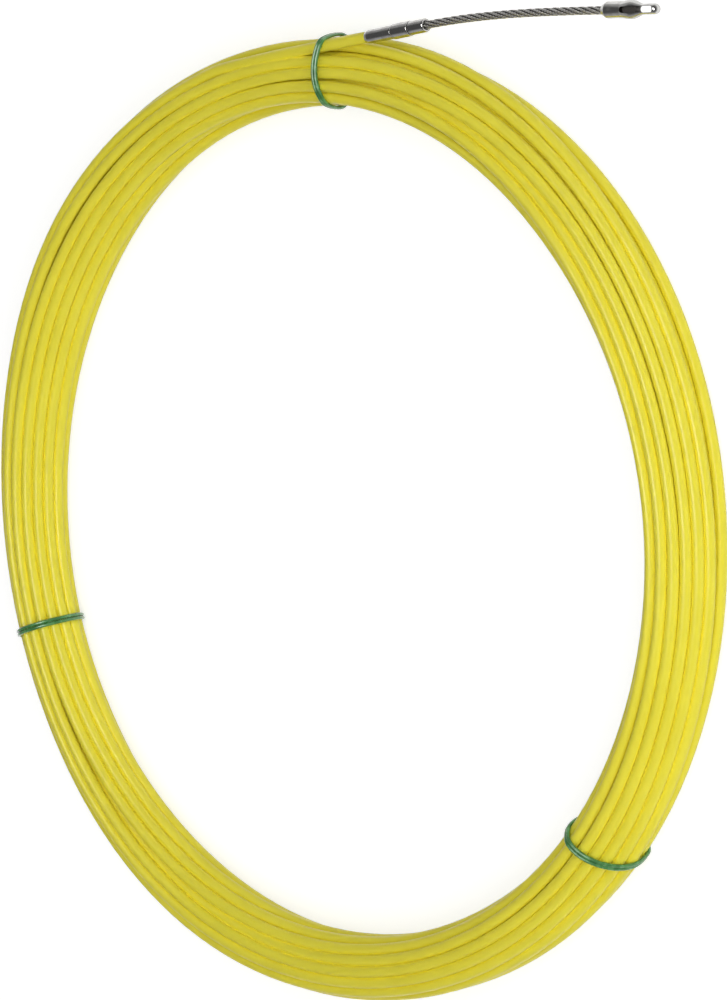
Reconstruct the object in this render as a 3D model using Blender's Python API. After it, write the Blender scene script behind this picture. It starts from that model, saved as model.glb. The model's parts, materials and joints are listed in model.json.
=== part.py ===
"""A cable-pulling tape: one long plastic rod wound into a flat coil and held by three wire ties.

The rod's front end carries a short wire-rope leader with a pulling eye, fixed by a coupling nut that
unscrews. The rod's rear end carries a plain eye. The coil lies on z = 0, with its axis along +Z.
Lengths are in metres and angles in degrees, measured about +Z from +X.
"""

import math

import bmesh
import bpy
import numpy as np
from mathutils import Vector

# Rod and coil
ROD_DIAMETER = 0.004
LOOP_GAP = 0.00050
LAYER_GAP = 0.00045
ROD_SIDES = 6
COIL_MEAN_RADIUS = 0.1550
LAYERS = 4
FULL_TURNS = 20
REVERSAL_TURNS = 0.5
POINTS_PER_TURN = 24
LEAVE_ANGLE = 88.0
REAR_ANGLE = 193.0
RADIAL_SLACK = 0.12
REST_CUT = 0.0004
TAPE_RUN_OUT = 0.0441
LEADER_HEADING = -0.8
TOP_LAYER_SHIFT = 0.0025

# Wire ties
TIE_WIRE_DIAMETER = 0.0013
TIE_WIRE_GAP = 0.00050
TIE_CLEARANCE = 0.00045
TIE_FLOOR_GAP = 0.00030
TIE_TURNS = 2
TIE_PINCH_ANGLE = 28.0
TWIST_LENGTH = 0.009
TWIST_RADIUS = 0.0011
TWIST_STAND_OFF = 0.0020
TWIST_POINTS = 8
LEAD_POINTS = 3

# Fittings on the front end
JOINT_GAP = 0.0003
EDGE_CHAMFER = 0.0003
FERRULE_DIAMETER = 0.0048
FERRULE_LENGTH = 0.0123
FERRULE_REAR_CHAMFER = 0.0007
SPIGOT_DIAMETER = 0.0029
SPIGOT_LENGTH = 0.0049
NUT_DIAMETER = 0.00535
NUT_END_WALL = 0.0012
COLLAR_DIAMETER = 0.0048
COLLAR_LENGTH = 0.0070
COLLAR_ROUNDING = 0.0005
COLLAR_NECK_DIAMETER = 0.0029
COLLAR_HEAD_DIAMETER = 0.0040
COLLAR_HEAD_LENGTH = 0.0010
FIT_GAP = 0.0003

# Wire-rope leader
ROPE_DIAMETER = 0.0029
ROPE_FREE_LENGTH = 0.0786
ROPE_SOCKET_DEPTH = 0.0050
ROPE_BEND = 7.5
ROPE_POINTS = 15

# Eye tip
TIP_LENGTH = 0.0232
TIP_REAR_CHAMFER = 0.0017
TIP_REAR_FACE_DIAMETER = 0.0042
TIP_BODY_DIAMETER = 0.0057
TIP_BODY_LENGTH = 0.0082
TIP_BULB_DIAMETER = 0.0064
TIP_BULB_RISE = 0.0036
TIP_BULB_FALL = 0.0052
TIP_NOSE_DIAMETER = 0.0036
EYE_WIDTH = 0.0021
EYE_LENGTH = 0.0071
EYE_GROOVE_LENGTH = 0.0128
EYE_WEB = 0.0026
EYE_END_WALL = 0.0019

# Rear eye
REAR_SHANK_LENGTH = 0.0120
REAR_RING_WIDTH = 0.0064
REAR_RING_THICKNESS = 0.0024
REAR_RING_SEAT = 0.0015
REAR_HOLE_WIDTH = 0.0032
REAR_HOLE_LENGTH = 0.0044
REAR_RING_WALL = 0.0016

ROUND_SIDES = 24
ROD_RADIUS = ROD_DIAMETER / 2
ROPE_RADIUS = ROPE_DIAMETER / 2
WIRE_RADIUS = TIE_WIRE_DIAMETER / 2
LOOP_STEP = ROD_DIAMETER + LOOP_GAP
LAYER_STEP = ROD_DIAMETER + LAYER_GAP
TAPE_TURNS = FULL_TURNS + (REAR_ANGLE - LEAVE_ANGLE) / 360
TURNS_PER_LAYER = (TAPE_TURNS - (LAYERS - 1) * REVERSAL_TURNS) / LAYERS
STACK_HALF = LAYER_STEP * (LAYERS - 1) / 2

# Each tie: name, angle, side of its twisted ends (1 outer, -1 inner), way that the ends run
TIES = (
    ("tie_by_leader", 80.0, 1, -1),
    ("tie_by_rear_eye", 189.0, 1, -1),
    ("tie_opposite", 312.3, -1, 1),
)


def clear_scene():
    for old in list(bpy.data.objects):
        bpy.data.objects.remove(old, do_unlink=True)


def finish(name, colour, roughness, metallic):
    """A plain surface: colour is linear red, green and blue."""
    material = bpy.data.materials.new(name)
    material.use_nodes = True
    surface = material.node_tree.nodes["Principled BSDF"]
    surface.inputs["Base Color"].default_value = (*colour, 1.0)
    surface.inputs["Roughness"].default_value = roughness
    surface.inputs["Metallic"].default_value = metallic
    return material


def place(name, data, parent, location=(0, 0, 0), heading=0.0):
    """Add an object under its parent, turned about +Z by heading."""
    part = bpy.data.objects.new(name, data)
    bpy.context.scene.collection.objects.link(part)
    part.parent = parent
    part.location = location
    part.rotation_euler = (0, 0, math.radians(heading))
    return part


def direction(heading):
    return Vector((math.cos(math.radians(heading)), math.sin(math.radians(heading)), 0))


def tube(name, points, radius, rings, surface):
    """A curve through the points with a round section and closed ends."""
    curve = bpy.data.curves.new(name, "CURVE")
    curve.dimensions = "3D"
    curve.twist_mode = "Z_UP"
    curve.bevel_depth = radius
    curve.bevel_resolution = rings
    curve.use_fill_caps = True
    spline = curve.splines.new("POLY")
    spline.points.add(len(points) - 1)
    for knot, point in zip(spline.points, points):
        knot.co = (*point, 1.0)
    curve.materials.append(surface)
    return curve


def turned(name, profile, surface, hollow=False):
    """A mesh turned about its own X axis from (along, radius) points; a hollow profile is a loop."""
    mesh = bpy.data.meshes.new(name)
    shape = bmesh.new()
    knots = [shape.verts.new((along, 0, radius)) for along, radius in profile]
    edges = [shape.edges.new(pair) for pair in zip(knots, knots[1:])]
    if hollow:
        edges.append(shape.edges.new((knots[-1], knots[0])))
    bmesh.ops.spin(shape, geom=knots + edges, cent=(0, 0, 0), axis=(1, 0, 0), angle=math.tau,
                   steps=ROUND_SIDES, use_merge=True)
    bmesh.ops.remove_doubles(shape, verts=shape.verts, dist=1e-6)
    bmesh.ops.recalc_face_normals(shape, faces=shape.faces)
    shape.to_mesh(mesh)
    shape.free()
    mesh.shade_smooth()
    mesh.set_sharp_from_angle(angle=math.radians(35))
    mesh.materials.append(surface)
    return mesh


def stadium(name, start, length, width, low, high, parent):
    """A cutter with round ends, along X from start, between two heights."""
    mesh = bpy.data.meshes.new(name)
    shape = bmesh.new()
    radius = width / 2
    steps = ROUND_SIDES // 2
    outline = []
    for centre, first in ((start + length - radius, -90), (start + radius, 90)):
        for step in range(steps + 1):
            swing = math.radians(first + 180 * step / steps)
            outline.append((centre + radius * math.cos(swing), radius * math.sin(swing), low))
    face = shape.faces.new([shape.verts.new(point) for point in outline])
    grown = bmesh.ops.extrude_face_region(shape, geom=[face])
    lifted = [item for item in grown["geom"] if isinstance(item, bmesh.types.BMVert)]
    bmesh.ops.translate(shape, verts=lifted, vec=(0, 0, high - low))
    bmesh.ops.recalc_face_normals(shape, faces=shape.faces)
    shape.to_mesh(mesh)
    shape.free()
    return place(name, mesh, parent)


def combine(part, tool, operation):
    """Join a tool shape to a part, or cut it away, and keep the tool out of the model."""
    tool.hide_render = True
    tool.display_type = "WIRE"
    step = part.modifiers.new(tool.name, "BOOLEAN")
    step.object = tool
    step.operation = operation
    step.solver = "EXACT"


def looseness(angle):
    """0 at a tie, rising towards 1 midway between two ties."""
    loose = 1.0
    for _, tie_angle, _, _ in TIES:
        apart = math.remainder(angle - tie_angle, 360)
        loose *= 1 - math.exp(-((apart / TIE_PINCH_ANGLE) ** 2))
    return loose


def winding(turn):
    """Radial offset and layer of the rod after some turns from its rear end.

    A layer spirals in or out at a steady rate. The spiral then reverses in half a turn, in which
    the rod climbs to the next layer. The top layer lies a little further in than the others.
    """
    stage = TURNS_PER_LAYER + REVERSAL_TURNS
    layer = min(int(turn / stage), LAYERS - 1)
    done = turn - layer * stage
    inward = 1 - 2 * (layer % 2)
    reach = LOOP_STEP * TURNS_PER_LAYER / 2
    if done <= TURNS_PER_LAYER:
        return inward * (reach - LOOP_STEP * done), layer
    share = (done - TURNS_PER_LAYER) / REVERSAL_TURNS
    bow = LOOP_STEP * REVERSAL_TURNS * share * (1 - share)
    return -inward * (reach + bow), layer + share


def top_shift(turn):
    """How far further in the rod lies: it moves in over the last turn before it climbs to the top layer."""
    climb = (LAYERS - 1) * TURNS_PER_LAYER + (LAYERS - 2) * REVERSAL_TURNS
    share = min(max(turn - climb + 1, 0), 1)
    return TOP_LAYER_SHIFT * share * share * (3 - 2 * share)


def coil_points():
    """Rod centre points from the rear end to where the rod leaves the coil.

    Between the ties the layers spread until the rod's underside, less its flat, is below the ties.
    """
    count = round(TAPE_TURNS * POINTS_PER_TURN)
    turns = [step / POINTS_PER_TURN for step in range(count + 1)]
    angles = [REAR_ANGLE - 360 * turn for turn in turns]
    slack = [looseness(angle) for angle in angles]
    flat_radius = ROD_RADIUS * math.cos(math.pi / ROD_SIDES)
    tie_depth = STACK_HALF + ROD_RADIUS + TIE_CLEARANCE + TIE_WIRE_DIAMETER + TIE_FLOOR_GAP
    belly = tie_depth + REST_CUT - flat_radius
    spread = (belly / STACK_HALF - 1) / max(slack)
    middle = belly + flat_radius - REST_CUT
    points = []
    for turn, angle, loose in zip(turns, angles, slack):
        offset, level = winding(turn)
        radius = COIL_MEAN_RADIUS + offset * (1 + RADIAL_SLACK * loose) - top_shift(turn)
        height = middle + (level * LAYER_STEP - STACK_HALF) * (1 + spread * loose)
        points.append(radius * direction(angle) + Vector((0, 0, height)))
    return points


def crossings(points, angle):
    """Radius and height of each place where the rod passes the half plane at an angle."""
    out = direction(angle)
    along = direction(angle + 90)
    found = []
    for start, end in zip(points, points[1:]):
        before, after = start.dot(along), end.dot(along)
        if before * after <= 0 and before != after and start.dot(out) > 0:
            hit = start.lerp(end, before / (before - after))
            found.append((hit.dot(out), hit.z))
    return found


def smooth_through(knots, per_span):
    """Points of a smooth curve through a few chosen knots."""
    ends = [2 * knots[0] - knots[1], *knots, 2 * knots[-1] - knots[-2]]
    points = []
    for first, second, third, fourth in zip(ends, ends[1:], ends[2:], ends[3:]):
        for step in range(per_span):
            share = step / per_span
            points.append(0.5 * (2 * second + (third - first) * share
                                 + (2 * first - 5 * second + 4 * third - fourth) * share ** 2
                                 + (3 * second - first - 3 * third + fourth) * share ** 3))
    points.append(knots[-1])
    return points


def rounded_loop(near, far, low, high, corner):
    """Points round a rectangle with round corners: 4 on each corner and 2 on each side.

    It starts on the near side, below the upper corner, and goes up, over, down and back.
    """
    centres = (
        (near - corner, high - corner),
        (far + corner, high - corner),
        (far + corner, low + corner),
        (near - corner, low + corner),
    )
    arcs = []
    for quarter, (out, up) in enumerate(centres):
        swings = [math.radians(90 * quarter + 30 * part) for part in range(4)]
        arcs.append([Vector((out + corner * math.cos(swing), up + corner * math.sin(swing)))
                     for swing in swings])
    loop = []
    for arc, following in zip(arcs, arcs[1:] + arcs[:1]):
        loop += arc
        loop += [arc[-1].lerp(following[0], share) for share in (1 / 3, 2 / 3)]
    return loop[-1:] + loop[:-1]


def twisted_pair(out, along, up):
    """Two wires that wind once about a line; the first starts above it and the second below."""
    pair = []
    for phase in (90, 270):
        strand = []
        for part in range(TWIST_POINTS + 1):
            share = part / TWIST_POINTS
            swing = math.radians(phase + 360 * share)
            strand.append(Vector((out + TWIST_RADIUS * math.cos(swing), along + TWIST_LENGTH * share,
                                  up + TWIST_RADIUS * math.sin(swing))))
        pair.append(strand)
    return pair


def tie_points(rod, angle, side, run):
    """Centre points of a wire that winds round the bundle and ends in a twisted pair.

    Local places are (out past the side of the twisted ends, along the rod, up).
    """
    passes = crossings(rod, angle)
    margin = ROD_RADIUS + TIE_CLEARANCE + WIRE_RADIUS
    near = max(side * radius for radius, _ in passes) + margin
    far = min(side * radius for radius, _ in passes) - margin
    low = min(height for _, height in passes) - margin
    high = max(height for _, height in passes) + margin
    loop = rounded_loop(near, far, low, high, margin)
    last_corner = 5
    flat = (loop * TIE_TURNS)[:-last_corner]
    step = TIE_WIRE_DIAMETER + TIE_WIRE_GAP
    edge = step * TIE_TURNS / 2
    rounds = [Vector((spot.x, step * index / len(loop) - edge, spot.y))
              for index, spot in enumerate(flat)]
    axis_out = near + TWIST_STAND_OFF
    axis_up = low + WIRE_RADIUS + TWIST_RADIUS
    upper, lower = twisted_pair(axis_out, edge + TIE_WIRE_DIAMETER, axis_up)
    bend_in = Vector((axis_out, -edge, axis_up + 3 * TWIST_RADIUS))
    bend_out = Vector((near, edge, low))
    lead_in = smooth_through([upper[0], bend_in, rounds[0]], LEAD_POINTS)
    lead_out = smooth_through([rounds[-1], bend_out, lower[0]], LEAD_POINTS)
    local = upper[:0:-1] + lead_in[:-1] + rounds + lead_out[1:-1] + lower
    out_way = side * direction(angle)
    run_way = run * direction(angle + 90)
    return [out_way * point.x + run_way * point.y + Vector((0, 0, point.z)) for point in local]


def least_gap(points, diameter, skip):
    """Smallest space between stretches of a tube that lie more than skip apart along it."""
    knots = np.array(points)
    parts = 6
    shares = (np.arange(parts) / parts)[:, None, None]
    dense = knots[None, :-1] * (1 - shares) + knots[None, 1:] * shares
    dense = dense.transpose(1, 0, 2).reshape(-1, 3)
    travel = np.concatenate([[0], np.cumsum(np.linalg.norm(np.diff(dense, axis=0), axis=1))])
    least = math.inf
    for index in range(len(dense)):
        later = travel > travel[index] + skip
        if later.any():
            least = min(least, np.linalg.norm(dense[later] - dense[index], axis=1).min())
    return least - diameter


def build():
    clear_scene()
    yellow = finish("tape_yellow", (0.78, 0.70, 0.045), 0.3, 0.0)
    steel = finish("plated_steel", (0.62, 0.62, 0.60), 0.25, 1.0)
    rope_steel = finish("rope_steel", (0.40, 0.39, 0.36), 0.4, 1.0)
    green = finish("tie_green", (0.045, 0.22, 0.085), 0.25, 0.0)
    root = place("coiled_tape", None, None)

    # The rod: coil, then a straight run to the front ferrule and a short one at the rear eye
    coil = coil_points()
    heading = LEADER_HEADING
    ahead = direction(heading)
    behind = direction(REAR_ANGLE + 90)
    leave = coil[-1]
    ferrule_at = leave + ahead * TAPE_RUN_OUT
    rear_at = coil[0] + behind * ROD_DIAMETER
    run_out = [leave + ahead * (TAPE_RUN_OUT - JOINT_GAP) * share for share in (1 / 3, 2 / 3, 1)]
    rod = [rear_at - behind * JOINT_GAP, *coil, *run_out]
    winding_curve = place("winding_guide", tube("winding_guide", rod, ROD_RADIUS, 1, yellow), root)
    bpy.context.view_layer.update()
    wound = winding_curve.evaluated_get(bpy.context.evaluated_depsgraph_get())
    tape = place("tape_coil", bpy.data.meshes.new_from_object(wound), root)
    tape.data.name = "tape_coil"
    bpy.data.objects.remove(winding_curve, do_unlink=True)
    floor_mesh = bpy.data.meshes.new("floor_cutter")
    slab_side = 4 * COIL_MEAN_RADIUS
    slab = bmesh.new()
    bmesh.ops.create_cube(slab, size=slab_side)
    bmesh.ops.translate(slab, verts=slab.verts, vec=(0, 0, -slab_side / 2))
    slab.to_mesh(floor_mesh)
    slab.free()
    combine(tape, place("floor_cutter", floor_mesh, root), "DIFFERENCE")
    gap = least_gap(rod, ROD_DIAMETER, 2 * COIL_MEAN_RADIUS)
    print("least gap between turns of tape_coil, mm:", 1000 * gap)

    # Ties
    for name, angle, side, run in TIES:
        route = tie_points(rod, angle, side, run)
        place(name, tube(name, route, WIRE_RADIUS, 1, green), root)
        gap = least_gap(route, TIE_WIRE_DIAMETER, 3 * TIE_WIRE_DIAMETER)
        print("least gap along", name, "mm:", 1000 * gap)

    # Front ferrule, with the threaded spigot that the nut screws on to
    ferrule_radius = FERRULE_DIAMETER / 2
    spigot_radius = SPIGOT_DIAMETER / 2
    spigot_end = FERRULE_LENGTH + SPIGOT_LENGTH
    ferrule = turned("front_ferrule", [
        (0, 0),
        (0, ferrule_radius - FERRULE_REAR_CHAMFER),
        (FERRULE_REAR_CHAMFER, ferrule_radius),
        (FERRULE_LENGTH - EDGE_CHAMFER, ferrule_radius),
        (FERRULE_LENGTH, ferrule_radius - EDGE_CHAMFER),
        (FERRULE_LENGTH, spigot_radius),
        (spigot_end - EDGE_CHAMFER, spigot_radius),
        (spigot_end, spigot_radius - EDGE_CHAMFER),
        (spigot_end, 0),
    ], steel)
    place("front_ferrule", ferrule, root, ferrule_at, heading)

    # Coupling nut: turns on the collar's head and screws on to the spigot
    nut_radius = NUT_DIAMETER / 2
    chamber_start = SPIGOT_LENGTH
    chamber_end = chamber_start + COLLAR_HEAD_LENGTH + 2 * FIT_GAP
    nut_length = chamber_end + NUT_END_WALL
    bore_radius = spigot_radius + FIT_GAP
    chamber_radius = COLLAR_HEAD_DIAMETER / 2 + FIT_GAP
    neck_radius = COLLAR_NECK_DIAMETER / 2
    nut = turned("coupling_nut", [
        (0, bore_radius),
        (0, nut_radius - EDGE_CHAMFER),
        (EDGE_CHAMFER, nut_radius),
        (nut_length - EDGE_CHAMFER, nut_radius),
        (nut_length, nut_radius - EDGE_CHAMFER),
        (nut_length, neck_radius + FIT_GAP),
        (chamber_end, neck_radius + FIT_GAP),
        (chamber_end, chamber_radius),
        (chamber_start, chamber_radius),
        (chamber_start, bore_radius),
    ], steel, hollow=True)
    nut_at = ferrule_at + ahead * (FERRULE_LENGTH + JOINT_GAP)
    place("coupling_nut", nut, root, nut_at, heading)

    # Collar: its head turns inside the nut, and its socket holds the rope
    collar_at = nut_at + ahead * (nut_length + JOINT_GAP)
    head_end = chamber_end - FIT_GAP - nut_length - JOINT_GAP
    head_start = head_end - COLLAR_HEAD_LENGTH
    head_radius = COLLAR_HEAD_DIAMETER / 2
    collar_radius = COLLAR_DIAMETER / 2
    socket_radius = ROPE_RADIUS + FIT_GAP
    profile = [
        (head_start, 0),
        (head_start, head_radius),
        (head_end, head_radius),
        (head_end, neck_radius),
        (0, neck_radius),
        (0, collar_radius - EDGE_CHAMFER),
        (EDGE_CHAMFER, collar_radius),
    ]
    for swing in (0, 45, 90):
        angle = math.radians(swing)
        profile.append((COLLAR_LENGTH - COLLAR_ROUNDING * (1 - math.sin(angle)),
                        collar_radius - COLLAR_ROUNDING * (1 - math.cos(angle))))
    profile += [
        (COLLAR_LENGTH, socket_radius),
        (COLLAR_LENGTH - ROPE_SOCKET_DEPTH, socket_radius),
        (COLLAR_LENGTH - ROPE_SOCKET_DEPTH, 0),
    ]
    place("rope_collar", turned("rope_collar", profile, steel), root, collar_at, heading)

    # Wire rope: straight in its sockets, and between them bent as a rod held at the collar droops
    rope_at = collar_at + ahead * COLLAR_LENGTH
    held = ROPE_SOCKET_DEPTH - FIT_GAP
    rope = [rope_at - ahead * held]
    spot = rope_at.copy()
    span = ROPE_FREE_LENGTH / (ROPE_POINTS - 1)
    for step in range(ROPE_POINTS):
        rope.append(spot.copy())
        share = (step + 0.5) / (ROPE_POINTS - 1)
        spot += direction(heading - ROPE_BEND * share * (2 - share)) * span
    tip_heading = heading - ROPE_BEND
    tip_at = rope[-1]
    rope.append(tip_at + direction(tip_heading) * held)
    place("leader_rope", tube("leader_rope", rope, ROPE_RADIUS, 2, rope_steel), root)
    flex_at = rope[(len(rope) - 1) // 2]
    flex_axis = place("leader_flex_axis", None, root, flex_at)

    # Eye tip: a bulb with a through slot, and a groove on each face for the pulled wire
    body_radius = TIP_BODY_DIAMETER / 2
    bulb_radius = TIP_BULB_DIAMETER / 2
    nose_radius = TIP_NOSE_DIAMETER / 2
    profile = [
        (ROPE_SOCKET_DEPTH, 0),
        (ROPE_SOCKET_DEPTH, socket_radius),
        (0, socket_radius),
        (0, TIP_REAR_FACE_DIAMETER / 2),
        (TIP_REAR_CHAMFER, body_radius),
        (TIP_BODY_LENGTH, body_radius),
    ]
    for share in (1 / 3, 2 / 3, 1):
        rise = math.sin(math.pi / 2 * share)
        profile.append((TIP_BODY_LENGTH + TIP_BULB_RISE * share,
                        body_radius + (bulb_radius - body_radius) * rise))
    for share in (0.2, 0.4, 0.6, 0.8, 1):
        fall = (1 - math.cos(math.pi * share)) / 2
        profile.append((TIP_BODY_LENGTH + TIP_BULB_RISE + TIP_BULB_FALL * share,
                        bulb_radius + (nose_radius - bulb_radius) * fall))
    nose_start = TIP_LENGTH - nose_radius
    profile.append((nose_start, nose_radius))
    for swing in (30, 60):
        angle = math.radians(swing)
        profile.append((nose_start + nose_radius * math.sin(angle), nose_radius * math.cos(angle)))
    profile.append((TIP_LENGTH, 0))
    tip_mesh = turned("eye_tip", profile, steel)
    tip = place("eye_tip", tip_mesh, flex_axis, tip_at - flex_at, tip_heading)
    eye_end = TIP_LENGTH - EYE_END_WALL
    reach = TIP_BULB_DIAMETER
    slot = stadium("eye_cutter", eye_end - EYE_LENGTH, EYE_LENGTH, EYE_WIDTH, -reach, reach, tip)
    combine(tip, slot, "DIFFERENCE")
    for name, low, high in (("upper_groove_cutter", EYE_WEB / 2, reach),
                            ("lower_groove_cutter", -reach, -EYE_WEB / 2)):
        groove_start = eye_end - EYE_GROOVE_LENGTH
        groove = stadium(name, groove_start, EYE_GROOVE_LENGTH, EYE_WIDTH, low, high, tip)
        combine(tip, groove, "DIFFERENCE")

    # Rear eye: a crimped shank and a flat ring in one piece
    shank_radius = FERRULE_DIAMETER / 2
    shank = turned("rear_eye", [
        (0, 0),
        (0, shank_radius - EDGE_CHAMFER),
        (EDGE_CHAMFER, shank_radius),
        (REAR_SHANK_LENGTH - FERRULE_REAR_CHAMFER, shank_radius),
        (REAR_SHANK_LENGTH, shank_radius - FERRULE_REAR_CHAMFER),
        (REAR_SHANK_LENGTH, 0),
    ], steel)
    rear_eye = place("rear_eye", shank, root, rear_at, REAR_ANGLE + 90)
    half = REAR_RING_THICKNESS / 2
    ring_length = REAR_RING_SEAT + REAR_RING_WALL + REAR_HOLE_LENGTH + REAR_RING_WALL
    ring_start = REAR_SHANK_LENGTH - REAR_RING_SEAT
    ring = stadium("rear_ring", ring_start, ring_length, REAR_RING_WIDTH, -half, half, rear_eye)
    combine(rear_eye, ring, "UNION")
    hole_start = REAR_SHANK_LENGTH + REAR_RING_WALL
    hole = stadium("rear_hole_cutter", hole_start, REAR_HOLE_LENGTH, REAR_HOLE_WIDTH,
                   -2 * half, 2 * half, rear_eye)
    combine(rear_eye, hole, "DIFFERENCE")

    # The origin is under the middle of the whole part
    bpy.context.view_layer.update()
    graph = bpy.context.evaluated_depsgraph_get()
    corners = []
    for part in bpy.data.objects:
        if part.type != "EMPTY" and not part.hide_render:
            solid = part.evaluated_get(graph)
            corners += [solid.matrix_world @ vertex.co for vertex in solid.to_mesh().vertices]
            solid.to_mesh_clear()
    for axis in (0, 1):
        values = [corner[axis] for corner in corners]
        root.location[axis] = -(min(values) + max(values)) / 2


build()
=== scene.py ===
"""The looks of a coiled cable-pulling tape: a tied coil of yellow rod with a wire-rope leader."""
import json

import bmesh
import bpy
import numpy as np
from mathutils import Matrix, Vector


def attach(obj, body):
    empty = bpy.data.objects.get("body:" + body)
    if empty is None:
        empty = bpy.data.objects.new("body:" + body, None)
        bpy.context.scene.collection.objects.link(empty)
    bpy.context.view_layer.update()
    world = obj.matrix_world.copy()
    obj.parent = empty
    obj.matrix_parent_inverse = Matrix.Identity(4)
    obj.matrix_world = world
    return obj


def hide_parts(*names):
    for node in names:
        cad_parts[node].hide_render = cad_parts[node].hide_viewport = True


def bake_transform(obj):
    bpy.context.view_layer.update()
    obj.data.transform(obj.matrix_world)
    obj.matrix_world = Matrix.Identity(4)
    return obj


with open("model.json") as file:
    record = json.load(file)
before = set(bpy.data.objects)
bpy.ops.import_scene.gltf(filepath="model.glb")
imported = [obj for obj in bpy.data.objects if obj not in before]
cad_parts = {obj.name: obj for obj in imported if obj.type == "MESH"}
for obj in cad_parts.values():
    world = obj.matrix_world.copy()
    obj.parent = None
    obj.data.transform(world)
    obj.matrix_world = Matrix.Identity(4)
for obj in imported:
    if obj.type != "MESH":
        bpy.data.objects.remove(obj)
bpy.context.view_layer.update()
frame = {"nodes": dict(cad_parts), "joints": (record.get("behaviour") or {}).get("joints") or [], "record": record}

# Camera
# The photograph's view: a long lens, 46 degrees up on the side that the leader points to, and rolled a
# little, with the place where the leader leaves the coil at the top of the picture.
PICTURE_HEIGHT = 1000
FOCAL_PIXELS = 4630
SENSOR_HEIGHT = 36.0
SIGHT_OFF_AXIS = np.radians(43.99)
SIGHT_ROLL = np.radians(-7.26)
SIGHT_DISTANCE = 1.6104
AIM_RIGHT = 0.0090
AIM_UP = 0.0080

opening = np.array(frame["record"]["physics"]["openings"][0]["box_m"])
coil_centre = opening.mean(axis=0)
sight = np.array([np.sin(SIGHT_OFF_AXIS), 0, np.cos(SIGHT_OFF_AXIS)])
level = np.array([np.cos(SIGHT_OFF_AXIS), 0, -np.sin(SIGHT_OFF_AXIS)])
sideways = np.array([0.0, 1.0, 0.0])
picture_right = np.cos(SIGHT_ROLL) * level + np.sin(SIGHT_ROLL) * sideways
picture_up = np.cos(SIGHT_ROLL) * sideways - np.sin(SIGHT_ROLL) * level
camera_at = coil_centre + SIGHT_DISTANCE * sight + AIM_RIGHT * picture_right + AIM_UP * picture_up
camera_pose = np.eye(4)
camera_pose[:3] = np.column_stack([picture_right, picture_up, sight, camera_at])

lens = bpy.data.cameras.new("photo_view")
lens.sensor_fit = "VERTICAL"
lens.sensor_height = SENSOR_HEIGHT
lens.lens = FOCAL_PIXELS * SENSOR_HEIGHT / PICTURE_HEIGHT
camera = bpy.data.objects.new("photo_view", lens)
camera.matrix_world = Matrix(camera_pose)
bpy.context.scene.collection.objects.link(camera)
bpy.context.scene.camera = camera
bpy.context.scene.view_settings.view_transform = "Standard"

# Floor and light
# A pale studio table in an evenly lit room, with a broad soft lamp on the camera's side and a small soft
# box overhead. To the camera, and in mirror images, the table glows up to white and keeps its shadow.
FLOOR_SIDE = 20.0
FLOOR_DROP = 0.0002
FLOOR_TONE = 0.70
FLOOR_GRAIN = 0.02
FLOOR_GLOW = 0.64
ROOM_FILL = 0.29
HORIZON_TONE = 1.0
WALL_TONE = 0.42
WALL_FROM = 0.12
CEILING_TONE = 0.08
CEILING_FROM = 0.34
CEILING_TO = 0.62
LAMP_AT = (1.50, -0.20, 1.32)
LAMP_SIZE = (3.2, 2.2)
LAMP_WATTS = 35.5
BOX_AT = (0.20, 0.17, 1.50)
BOX_SIZE = (1.2, 0.60)
BOX_WATTS = 20.0


class Wire:
    """One socket of a node tree. Arithmetic on it adds Math nodes, and add() makes any other node."""

    def __init__(self, tree, socket=None):
        self.tree = tree
        self.socket = socket

    def feed(self, socket, value):
        """Sets a socket to a value, or joins a wire to it."""
        if isinstance(value, Wire):
            self.tree.links.new(value.socket, socket)
        else:
            socket.default_value = value

    def add(self, kind, settings, values, output=0):
        """A node of this kind: its settings first, then its sockets. Returns one of its outputs."""
        node = self.tree.nodes.new("ShaderNode" + kind)
        for name, value in settings.items():
            setattr(node, name, value)
        for key, value in values.items():
            self.feed(node.inputs[key], value)
        return Wire(self.tree, node.outputs[output])

    def maths(self, operation, first, second):
        return self.add("Math", {"operation": operation}, {0: first, 1: second})

    def __add__(self, other):
        return self.maths("ADD", self, other)

    def __radd__(self, other):
        return self.maths("ADD", other, self)

    def __rsub__(self, other):
        return self.maths("SUBTRACT", other, self)

    def __mul__(self, other):
        return self.maths("MULTIPLY", self, other)

    def __rmul__(self, other):
        return self.maths("MULTIPLY", other, self)

    def mix(self, first, second):
        """Two colours mixed by this wire: the first at 0, the second at 1."""
        settings = {"data_type": "RGBA", "clamp_factor": True}
        return self.add("Mix", settings, {0: self, 6: first, 7: second}, output=2)

    def rise(self, low, high):
        """0 below low, 1 above high, and a smooth step between them."""
        settings = {"interpolation_type": "SMOOTHSTEP"}
        return self.add("MapRange", settings, {"Value": self, "From Min": low, "From Max": high})


def grey(tone):
    return (tone, tone, tone, 1.0)


def seen_rays(graph):
    """1 for rays that bring the background to the camera, straight, by mirror or through glass."""
    ways = ("Is Camera Ray", "Is Glossy Ray", "Is Transmission Ray")
    straight, mirrored, through = [graph.add("LightPath", {}, {}, way) for way in ways]
    return straight + mirrored + through


def softbox(name, at, size, watts, mirrored):
    """A soft rectangle that faces the coil: a lamp, or a reflector that shows only in mirror images."""
    lamp = bpy.data.lights.new(name, "AREA")
    lamp.shape = "RECTANGLE"
    lamp.size, lamp.size_y = size
    lamp.energy = watts
    holder = bpy.data.objects.new(name, lamp)
    holder.location = at
    holder.rotation_euler = (Vector(coil_centre) - Vector(at)).to_track_quat("-Z", "Y").to_euler()
    holder.visible_camera = False
    holder.visible_glossy = mirrored
    holder.visible_diffuse = not mirrored
    bpy.context.scene.collection.objects.link(holder)


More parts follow.
